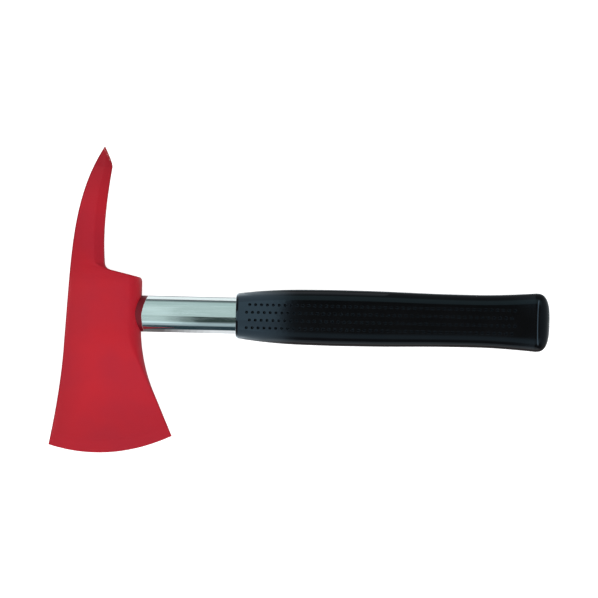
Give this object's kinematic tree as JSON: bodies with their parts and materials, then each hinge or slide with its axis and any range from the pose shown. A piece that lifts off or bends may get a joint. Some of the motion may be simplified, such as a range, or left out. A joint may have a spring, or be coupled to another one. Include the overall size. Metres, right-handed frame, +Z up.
{
  "type": "fire axe",
  "caption": "Compact fire axe: painted forged head with a curved pick and a flared blade, on a chromed steel tube with a dimpled black grip.",
  "frame": {"origin": "centre of the lower cheek of the head, straight under the handle's axis, on the surface the axe lies on", "axes": "+X along the handle from the head to the butt, +Y towards the point of the pick, +Z up through the thickness of the head"},
  "size_m": [0.349, 0.2143, 0.033],
  "materials": {
    "red_paint": "semi-gloss red enamel over forged steel, slightly uneven, thin at the point of the pick",
    "chrome_plate": "bright chrome plating on a drawn steel tube",
    "hardwood": "turned hardwood, painted over on its outer end",
    "wedge_steel": "bare mild steel, painted over on its outer end",
    "black_nylon": "moulded nylon",
    "black_vinyl": "semi-gloss moulded black vinyl with rows of fine dimples on both flats"
  },
  "bodies": {
    "root": {"axe_head": "red_paint", "handle_tube": "chrome_plate", "eye_plug": "hardwood", "eye_wedge": "wedge_steel", "tube_end_plug": "black_nylon", "grip": "black_vinyl"}
  },
  "joints": []
}
